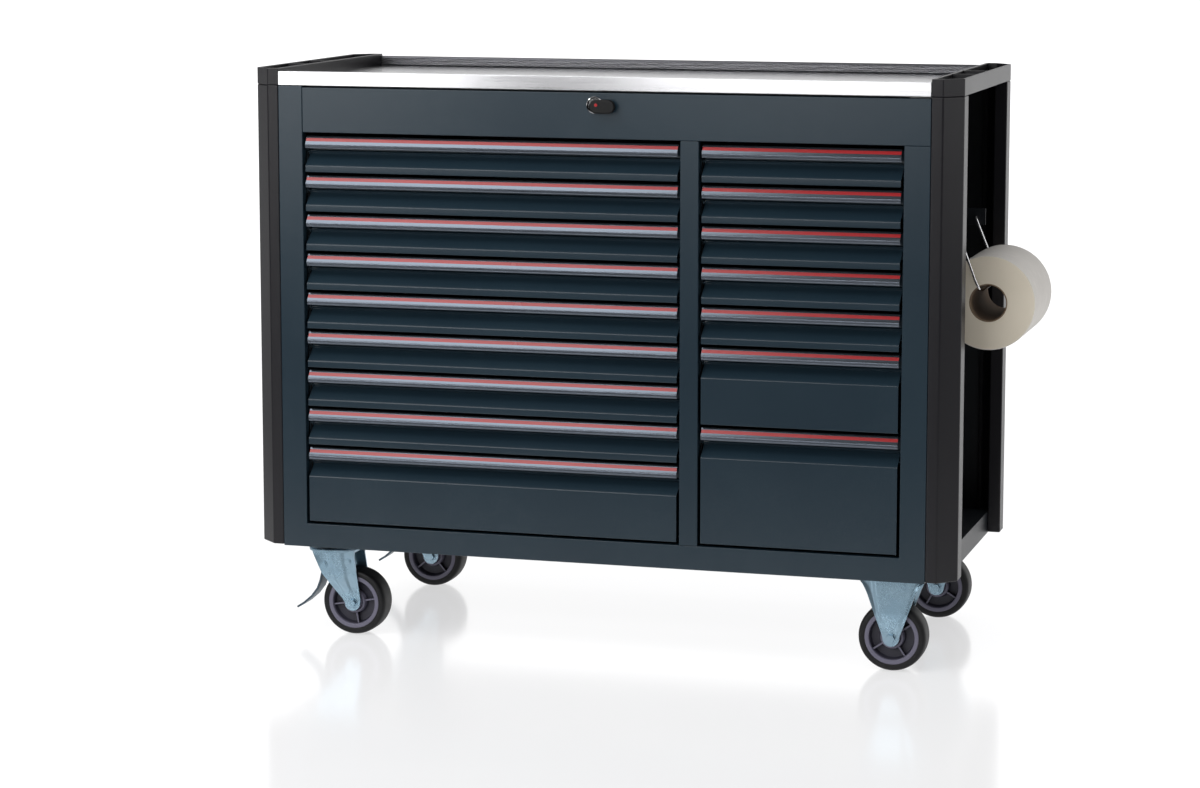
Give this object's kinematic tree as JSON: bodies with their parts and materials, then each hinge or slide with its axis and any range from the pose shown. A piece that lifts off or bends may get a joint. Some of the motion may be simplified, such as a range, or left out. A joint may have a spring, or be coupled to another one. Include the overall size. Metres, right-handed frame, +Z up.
{
  "type": "rolling tool chest",
  "caption": "Rolling tool chest: steel body on castors, two columns of full-width-pull drawers, recessed steel worktop, open side trays and a paper roll on the side.",
  "frame": {"origin": "on the floor, under the middle of the whole object's bounding box, paper roll and lock key included", "axes": "+Z up; the drawers open towards -Y; +X is towards the side that carries the paper roll"},
  "size_m": [1.476, 0.593, 1.098],
  "materials": {
    "blue_powder": "fine-textured satin powder coat, dark blue-grey",
    "dark_powder": "fine-textured satin powder coat, near black",
    "corner_plastic": "moulded plastic with a light grain, charcoal",
    "key_plastic": "smooth black plastic",
    "anodised": "dark anodised extrusion, satin",
    "stainless": "brushed stainless steel, grain along the length",
    "zinc": "zinc-plated pressed steel with a bluish cast",
    "bright_wire": "bright plated wire",
    "tyre": "black rubber tread",
    "wheel_plastic": "grey moulded polypropylene",
    "paper": "wound crepe paper"
  },
  "bodies": {
    "cabinet": {"carcass_shell": "dark_powder", "front_frame": "blue_powder", "post_front_left": "corner_plastic", "post_front_right": "corner_plastic", "post_rear_left": "corner_plastic", "post_rear_right": "corner_plastic", "side_tray_left": "corner_plastic", "side_tray_right": "corner_plastic", "worktop": "stainless", "roll_holder": "bright_wire", "castor_front_left_plate": "zinc", "castor_rear_left_plate": "zinc", "castor_front_right_fork": "zinc", "castor_rear_right_fork": "zinc"},
    "drawer_left_1": {"drawer_left_1_box": "blue_powder", "drawer_left_1_handle": "anodised"},
    "drawer_left_2": {"drawer_left_2_box": "blue_powder", "drawer_left_2_handle": "anodised"},
    "drawer_left_3": {"drawer_left_3_box": "blue_powder", "drawer_left_3_handle": "anodised"},
    "drawer_left_4": {"drawer_left_4_box": "blue_powder", "drawer_left_4_handle": "anodised"},
    "drawer_left_5": {"drawer_left_5_box": "blue_powder", "drawer_left_5_handle": "anodised"},
    "drawer_left_6": {"drawer_left_6_box": "blue_powder", "drawer_left_6_handle": "anodised"},
    "drawer_left_7": {"drawer_left_7_box": "blue_powder", "drawer_left_7_handle": "anodised"},
    "drawer_left_8": {"drawer_left_8_box": "blue_powder", "drawer_left_8_handle": "anodised"},
    "drawer_left_9": {"drawer_left_9_box": "blue_powder", "drawer_left_9_handle": "anodised"},
    "drawer_right_1": {"drawer_right_1_box": "blue_powder", "drawer_right_1_handle": "anodised"},
    "drawer_right_2": {"drawer_right_2_box": "blue_powder", "drawer_right_2_handle": "anodised"},
    "drawer_right_3": {"drawer_right_3_box": "blue_powder", "drawer_right_3_handle": "anodised"},
    "drawer_right_4": {"drawer_right_4_box": "blue_powder", "drawer_right_4_handle": "anodised"},
    "drawer_right_5": {"drawer_right_5_box": "blue_powder", "drawer_right_5_handle": "anodised"},
    "drawer_right_6": {"drawer_right_6_box": "blue_powder", "drawer_right_6_handle": "anodised"},
    "drawer_right_7": {"drawer_right_7_box": "blue_powder", "drawer_right_7_handle": "anodised"},
    "castor_front_left_swivel": {"castor_front_left_fork": "zinc"},
    "castor_front_left_brake": {"castor_front_left_brake_pedal": "zinc"},
    "castor_front_left_wheel": {"castor_front_left_tyre": "tyre", "castor_front_left_wheel": "wheel_plastic"},
    "castor_rear_left_swivel": {"castor_rear_left_fork": "zinc"},
    "castor_rear_left_brake": {"castor_rear_left_brake_pedal": "zinc"},
    "castor_rear_left_wheel": {"castor_rear_left_tyre": "tyre", "castor_rear_left_wheel": "wheel_plastic"},
    "castor_front_right_wheel": {"castor_front_right_tyre": "tyre", "castor_front_right_wheel": "wheel_plastic"},
    "castor_rear_right_wheel": {"castor_rear_right_tyre": "tyre", "castor_rear_right_wheel": "wheel_plastic"},
    "lock": {"lock_key": "key_plastic"},
    "roll": {"paper_roll": "paper"}
  },
  "joints": [
    {"name": "drawer_left_1_slide", "type": "slide", "parent": "cabinet", "child": "drawer_left_1", "axis": [0, -1, 0], "range_m": [0, 0.4]},
    {"name": "drawer_left_2_slide", "type": "slide", "parent": "cabinet", "child": "drawer_left_2", "axis": [0, -1, 0], "range_m": [0, 0.4]},
    {"name": "drawer_left_3_slide", "type": "slide", "parent": "cabinet", "child": "drawer_left_3", "axis": [0, -1, 0], "range_m": [0, 0.4]},
    {"name": "drawer_left_4_slide", "type": "slide", "parent": "cabinet", "child": "drawer_left_4", "axis": [0, -1, 0], "range_m": [0, 0.4]},
    {"name": "drawer_left_5_slide", "type": "slide", "parent": "cabinet", "child": "drawer_left_5", "axis": [0, -1, 0], "range_m": [0, 0.4]},
    {"name": "drawer_left_6_slide", "type": "slide", "parent": "cabinet", "child": "drawer_left_6", "axis": [0, -1, 0], "range_m": [0, 0.4]},
    {"name": "drawer_left_7_slide", "type": "slide", "parent": "cabinet", "child": "drawer_left_7", "axis": [0, -1, 0], "range_m": [0, 0.4]},
    {"name": "drawer_left_8_slide", "type": "slide", "parent": "cabinet", "child": "drawer_left_8", "axis": [0, -1, 0], "range_m": [0, 0.4]},
    {"name": "drawer_left_9_slide", "type": "slide", "parent": "cabinet", "child": "drawer_left_9", "axis": [0, -1, 0], "range_m": [0, 0.4]},
    {"name": "drawer_right_1_slide", "type": "slide", "parent": "cabinet", "child": "drawer_right_1", "axis": [0, -1, 0], "range_m": [0, 0.4]},
    {"name": "drawer_right_2_slide", "type": "slide", "parent": "cabinet", "child": "drawer_right_2", "axis": [0, -1, 0], "range_m": [0, 0.4]},
    {"name": "drawer_right_3_slide", "type": "slide", "parent": "cabinet", "child": "drawer_right_3", "axis": [0, -1, 0], "range_m": [0, 0.4]},
    {"name": "drawer_right_4_slide", "type": "slide", "parent": "cabinet", "child": "drawer_right_4", "axis": [0, -1, 0], "range_m": [0, 0.4]},
    {"name": "drawer_right_5_slide", "type": "slide", "parent": "cabinet", "child": "drawer_right_5", "axis": [0, -1, 0], "range_m": [0, 0.4]},
    {"name": "drawer_right_6_slide", "type": "slide", "parent": "cabinet", "child": "drawer_right_6", "axis": [0, -1, 0], "range_m": [0, 0.4]},
    {"name": "drawer_right_7_slide", "type": "slide", "parent": "cabinet", "child": "drawer_right_7", "axis": [0, -1, 0], "range_m": [0, 0.4]},
    {"name": "castor_front_left_swivel_turn", "type": "hinge", "parent": "cabinet", "child": "castor_front_left_swivel", "pos_m": [-0.611, -0.2195, 0.15], "axis": [0, 0, 1], "continuous": true},
    {"name": "castor_front_left_spin", "type": "hinge", "parent": "castor_front_left_swivel", "child": "castor_front_left_wheel", "pos_m": [-0.554, -0.2195, 0.064], "axis": [0, 1, 0], "continuous": true},
    {"name": "castor_front_left_brake_press", "type": "hinge", "parent": "castor_front_left_swivel", "child": "castor_front_left_brake", "pos_m": [-0.614, -0.2195, 0.135], "axis": [0, -1, 0], "range_deg": [0, 10]},
    {"name": "castor_rear_left_swivel_turn", "type": "hinge", "parent": "cabinet", "child": "castor_rear_left_swivel", "pos_m": [-0.611, 0.2375, 0.15], "axis": [0, 0, 1], "continuous": true},
    {"name": "castor_rear_left_spin", "type": "hinge", "parent": "castor_rear_left_swivel", "child": "castor_rear_left_wheel", "pos_m": [-0.554, 0.2375, 0.064], "axis": [0, 1, 0], "continuous": true},
    {"name": "castor_rear_left_brake_press", "type": "hinge", "parent": "castor_rear_left_swivel", "child": "castor_rear_left_brake", "pos_m": [-0.614, 0.2375, 0.135], "axis": [0, -1, 0], "range_deg": [0, 10]},
    {"name": "castor_front_right_spin", "type": "hinge", "parent": "cabinet", "child": "castor_front_right_wheel", "pos_m": [0.506, -0.2195, 0.064], "axis": [0, 1, 0], "continuous": true},
    {"name": "castor_rear_right_spin", "type": "hinge", "parent": "cabinet", "child": "castor_rear_right_wheel", "pos_m": [0.506, 0.2375, 0.064], "axis": [0, 1, 0], "continuous": true},
    {"name": "lock_turn", "type": "hinge", "parent": "cabinet", "child": "lock", "pos_m": [-0.055, -0.2785, 1.04], "axis": [0, 1, 0], "range_deg": [0, 90]},
    {"name": "roll_spin", "type": "hinge", "parent": "cabinet", "child": "roll", "pos_m": [0.65, 0.009, 0.674], "axis": [0, 1, 0], "continuous": true}
  ]
}
